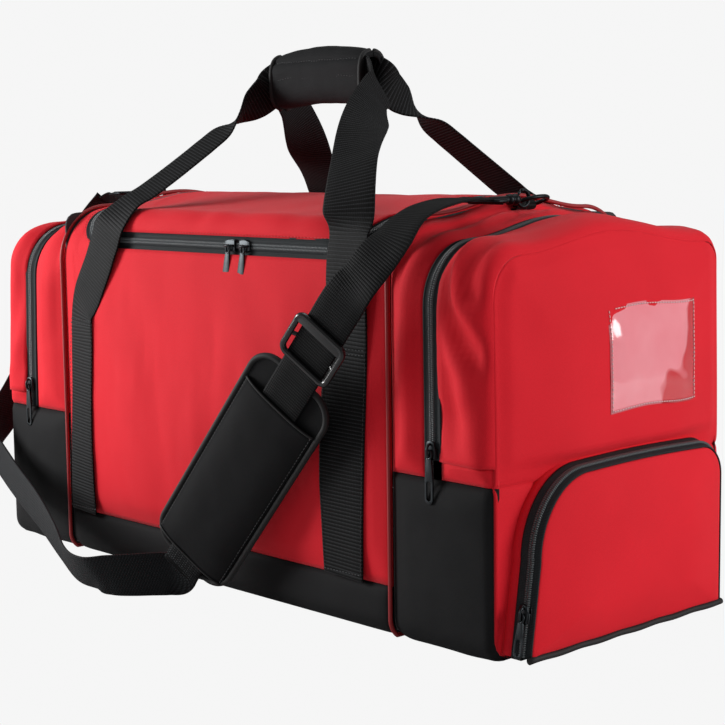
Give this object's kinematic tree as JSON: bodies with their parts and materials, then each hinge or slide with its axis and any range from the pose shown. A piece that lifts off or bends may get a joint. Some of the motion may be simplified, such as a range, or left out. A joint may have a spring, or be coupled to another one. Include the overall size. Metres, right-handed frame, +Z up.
{
  "type": "equipment bag",
  "caption": "Soft hockey equipment bag: U-zip lid on the main compartment, zipped end compartments, joined carry handles, end pocket and detachable padded shoulder strap.",
  "frame": {"origin": "on the floor under the middle of the bag's base", "axes": "+X along the bag to the end with the small pocket, +Y to the back, +Z up; the shoulder strap hangs on the -Y side"},
  "size_m": [0.7237, 0.4174, 0.485],
  "materials": {
    "red_polyester": "coated plain-weave polyester",
    "black_polyester": "coated plain-weave polyester",
    "stiffener_board": "matt sheet",
    "zip_tape": "woven zip tape with coil teeth",
    "webbing": "ribbed webbing",
    "gunmetal": "gunmetal plating, satin",
    "black_plastic": "moulded, fine grain",
    "clear_vinyl": "clear flexible sheet",
    "black_piping": "smooth cord",
    "red_piping": "smooth cord"
  },
  "bodies": {
    "bag_body": {"base_panel": "black_polyester", "base_board": "stiffener_board", "front_panel": "red_polyester", "back_panel": "red_polyester", "left_divider": "black_polyester", "right_divider": "black_polyester", "left_piping": "red_piping", "right_piping": "red_piping", "main_zip_body_tape": "zip_tape", "left_inner_gusset": "red_polyester", "right_inner_gusset": "red_polyester", "left_lower_end": "black_polyester", "right_lower_end": "black_polyester", "left_lower_panel": "red_polyester", "right_lower_panel": "red_polyester", "left_zip_inner_tape": "zip_tape", "right_zip_inner_tape": "zip_tape", "pocket_gusset": "red_polyester", "pocket_piping": "black_piping", "pocket_zip_inner_tape": "zip_tape", "front_left_handle_leg": "webbing", "front_right_handle_leg": "webbing", "back_left_handle_leg": "webbing", "back_right_handle_leg": "webbing", "left_ring_tab": "webbing", "right_ring_tab": "webbing", "strap_lower_webbing": "webbing"},
    "lid": {"lid_panel": "red_polyester", "main_zip_lid_tape": "zip_tape"},
    "left_end_cap": {"left_end_panel": "red_polyester", "left_zip_outer_tape": "zip_tape"},
    "right_end_cap": {"right_end_panel": "red_polyester", "right_zip_outer_tape": "zip_tape", "id_window": "clear_vinyl"},
    "pocket_front": {"pocket_flap": "red_polyester", "pocket_zip_outer_tape": "zip_tape"},
    "front_handle": {"front_handle_loop": "webbing", "grip_front_half": "black_polyester"},
    "back_handle": {"back_handle_loop": "webbing", "grip_back_half": "black_polyester"},
    "left_ring": {"left_d_ring": "gunmetal"},
    "right_ring": {"right_d_ring": "gunmetal"},
    "left_strap_end": {"left_hook": "gunmetal"},
    "left_gate": {"left_hook_gate": "gunmetal"},
    "strap": {"strap_upper_webbing": "webbing", "right_hook": "gunmetal"},
    "right_gate": {"right_hook_gate": "gunmetal"},
    "adjuster": {"strap_adjuster": "black_plastic"},
    "pad": {"strap_pad": "black_polyester"},
    "main_left_slider_body": {"main_left_slider": "gunmetal"},
    "main_left_pull_body": {"main_left_pull": "gunmetal"},
    "main_right_slider_body": {"main_right_slider": "gunmetal"},
    "main_right_pull_body": {"main_right_pull": "gunmetal"},
    "left_end_slider_body": {"left_end_slider": "gunmetal"},
    "left_end_pull_body": {"left_end_pull": "gunmetal"},
    "right_end_slider_body": {"right_end_slider": "gunmetal"},
    "right_end_pull_body": {"right_end_pull": "gunmetal"},
    "pocket_slider_body": {"pocket_slider": "gunmetal"},
    "pocket_pull_body": {"pocket_pull": "gunmetal"}
  },
  "joints": [
    {"name": "lid_open", "type": "hinge", "parent": "bag_body", "child": "lid", "pos_m": [0, 0.1145, 0.3383], "axis": [-1, 0, 0], "range_deg": [0, 100]},
    {"name": "front_handle_swing", "type": "hinge", "parent": "bag_body", "child": "front_handle", "pos_m": [0, -0.1666, 0.335], "axis": [1, 0, 0], "range_deg": [0, 150]},
    {"name": "back_handle_swing", "type": "hinge", "parent": "bag_body", "child": "back_handle", "pos_m": [0, 0.1666, 0.335], "axis": [-1, 0, 0], "range_deg": [0, 150]},
    {"name": "left_end_open", "type": "hinge", "parent": "bag_body", "child": "left_end_cap", "pos_m": [-0.3405, 0, 0.152], "axis": [0, -1, 0], "range_deg": [0, 70], "deforming": ["strap_lower_webbing"]},
    {"name": "right_end_open", "type": "hinge", "parent": "bag_body", "child": "right_end_cap", "pos_m": [0.3405, 0, 0.152], "axis": [0, 1, 0], "range_deg": [0, 70]},
    {"name": "pocket_open", "type": "hinge", "parent": "bag_body", "child": "pocket_front", "pos_m": [0.363, 0, 0.01], "axis": [0, 1, 0], "range_deg": [0, 85]},
    {"name": "main_left_slider_slide", "type": "slide", "parent": "bag_body", "child": "main_left_slider_body", "axis": [-1, 0, 0], "range_m": [0, 0.22]},
    {"name": "main_left_pull_swing", "type": "hinge", "parent": "main_left_slider_body", "child": "main_left_pull_body", "pos_m": [0.035, -0.1486, 0.31], "axis": [1, 0, 0], "range_deg": [-150, 0]},
    {"name": "main_right_slider_slide", "type": "slide", "parent": "bag_body", "child": "main_right_slider_body", "axis": [1, 0, 0], "range_m": [0, 0.13]},
    {"name": "main_right_pull_swing", "type": "hinge", "parent": "main_right_slider_body", "child": "main_right_pull_body", "pos_m": [0.055, -0.1486, 0.31], "axis": [1, 0, 0], "range_deg": [-150, 0]},
    {"name": "left_end_slider_slide", "type": "slide", "parent": "bag_body", "child": "left_end_slider_body", "axis": [0, 0, 1], "range_m": [0, 0.11]},
    {"name": "left_end_pull_swing", "type": "hinge", "parent": "left_end_slider_body", "child": "left_end_pull_body", "pos_m": [-0.2922, -0.1486, 0.16], "axis": [1, 0, 0], "range_deg": [-150, 0]},
    {"name": "right_end_slider_slide", "type": "slide", "parent": "bag_body", "child": "right_end_slider_body", "axis": [0, 0, 1], "range_m": [0, 0.11]},
    {"name": "right_end_pull_swing", "type": "hinge", "parent": "right_end_slider_body", "child": "right_end_pull_body", "pos_m": [0.2752, -0.1486, 0.16], "axis": [1, 0, 0], "range_deg": [-150, 0]},
    {"name": "pocket_slider_slide", "type": "slide", "parent": "bag_body", "child": "pocket_slider_body", "axis": [0, 0.1552, 0.9879], "range_m": [0, 0.018]},
    {"name": "pocket_pull_swing", "type": "hinge", "parent": "pocket_slider_body", "child": "pocket_pull_body", "pos_m": [0.3528, -0.12961, 0.04206], "axis": [1, 0, 0], "range_deg": [-150, 0]},
    {"name": "right_ring_swing", "type": "hinge", "parent": "bag_body", "child": "right_ring", "pos_m": [0.2405, 0, 0.343], "axis": [0, 1, 0], "range_deg": [-8, 8]},
    {"name": "left_ring_swing", "type": "hinge", "parent": "bag_body", "child": "left_ring", "pos_m": [-0.2405, 0, 0.343], "axis": [0, 1, 0], "range_deg": [-8, 8]},
    {"name": "left_hook_swing", "type": "hinge", "parent": "bag_body", "child": "left_strap_end", "pos_m": [-0.261, 0, 0.349], "axis": [0, 1, 0], "range_deg": [0, 25], "deforming": ["strap_lower_webbing"]},
    {"name": "left_gate_open", "type": "hinge", "parent": "left_strap_end", "child": "left_gate", "pos_m": [-0.2669, 0, 0.3524], "axis": [0, 1, 0], "range_deg": [0, 30], "stiffness_Nm_per_rad": 0.05},
    {"name": "strap_swing", "type": "hinge", "parent": "bag_body", "child": "strap", "pos_m": [0.2535, -0.015, 0.349], "axis": [1, 0, 0], "range_deg": [-50, 0], "deforming": ["strap_lower_webbing"]},
    {"name": "right_gate_open", "type": "hinge", "parent": "strap", "child": "right_gate", "pos_m": [0.2535, -0.0209, 0.3524], "axis": [-1, 0, 0], "range_deg": [0, 30], "stiffness_Nm_per_rad": 0.05},
    {"name": "pad_slide", "type": "slide", "parent": "strap", "child": "pad", "axis": [-0.6585, 0, -0.7526], "range_m": [-0.012, 0.006]},
    {"name": "adjuster_slide", "type": "slide", "parent": "strap", "child": "adjuster", "axis": [0.6585, 0, 0.7526], "range_m": [0, 0.024]}
  ],
  "couplings": [
    {"joint": "front_handle_swing", "follows": "lid_open", "ratio": 1.5},
    {"joint": "back_handle_swing", "follows": "lid_open", "ratio": 1.5}
  ]
}
